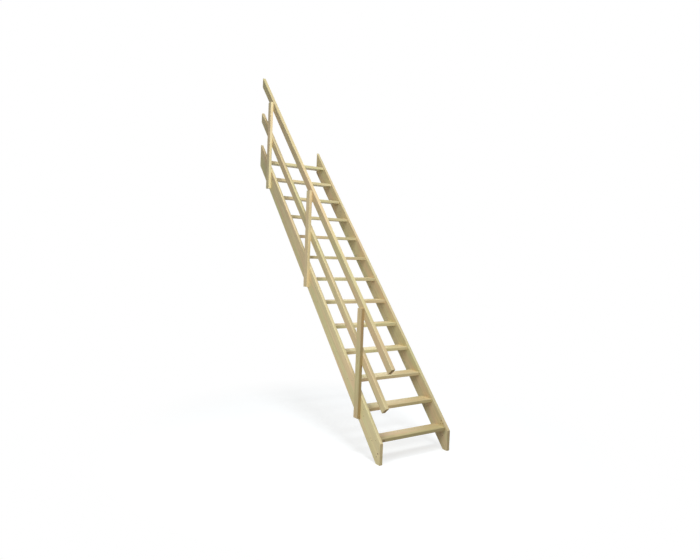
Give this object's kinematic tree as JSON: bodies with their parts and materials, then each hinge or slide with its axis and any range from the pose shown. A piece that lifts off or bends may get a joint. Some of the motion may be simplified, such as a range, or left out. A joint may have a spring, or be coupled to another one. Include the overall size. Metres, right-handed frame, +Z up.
{
  "type": "loft ladder",
  "caption": "Open softwood loft stair with plain stringers, housed treads and a handrail with a knee rail on posts along its left side",
  "frame": {"origin": "middle of the left stringer's plumb wall end, on the face that lies against the wall or the loft trimmer", "axes": "+Z up, +Y into the wall, the way the stair climbs, +X to the right for someone who climbs it"},
  "size_m": [0.766, 2.4641, 3.4964],
  "materials": {
    "stringer_wood": "planed unfinished spruce, grain along the slope",
    "tread_wood": "planed unfinished spruce, grain across the stair",
    "rail_wood": "planed unfinished spruce, grain along the slope",
    "post_wood": "planed unfinished spruce, grain upright",
    "screw_steel": "yellow zinc plated screw heads"
  },
  "bodies": {
    "root": {"left_stringer": "stringer_wood", "right_stringer": "stringer_wood", "handrail": "rail_wood", "knee_rail": "rail_wood", "tread_01": "tread_wood", "tread_02": "tread_wood", "tread_03": "tread_wood", "tread_04": "tread_wood", "tread_05": "tread_wood", "tread_06": "tread_wood", "tread_07": "tread_wood", "tread_08": "tread_wood", "tread_09": "tread_wood", "tread_10": "tread_wood", "tread_11": "tread_wood", "tread_12": "tread_wood", "tread_13": "tread_wood", "post_lower": "post_wood", "post_middle": "post_wood", "post_upper": "post_wood"}
  },
  "joints": []
}
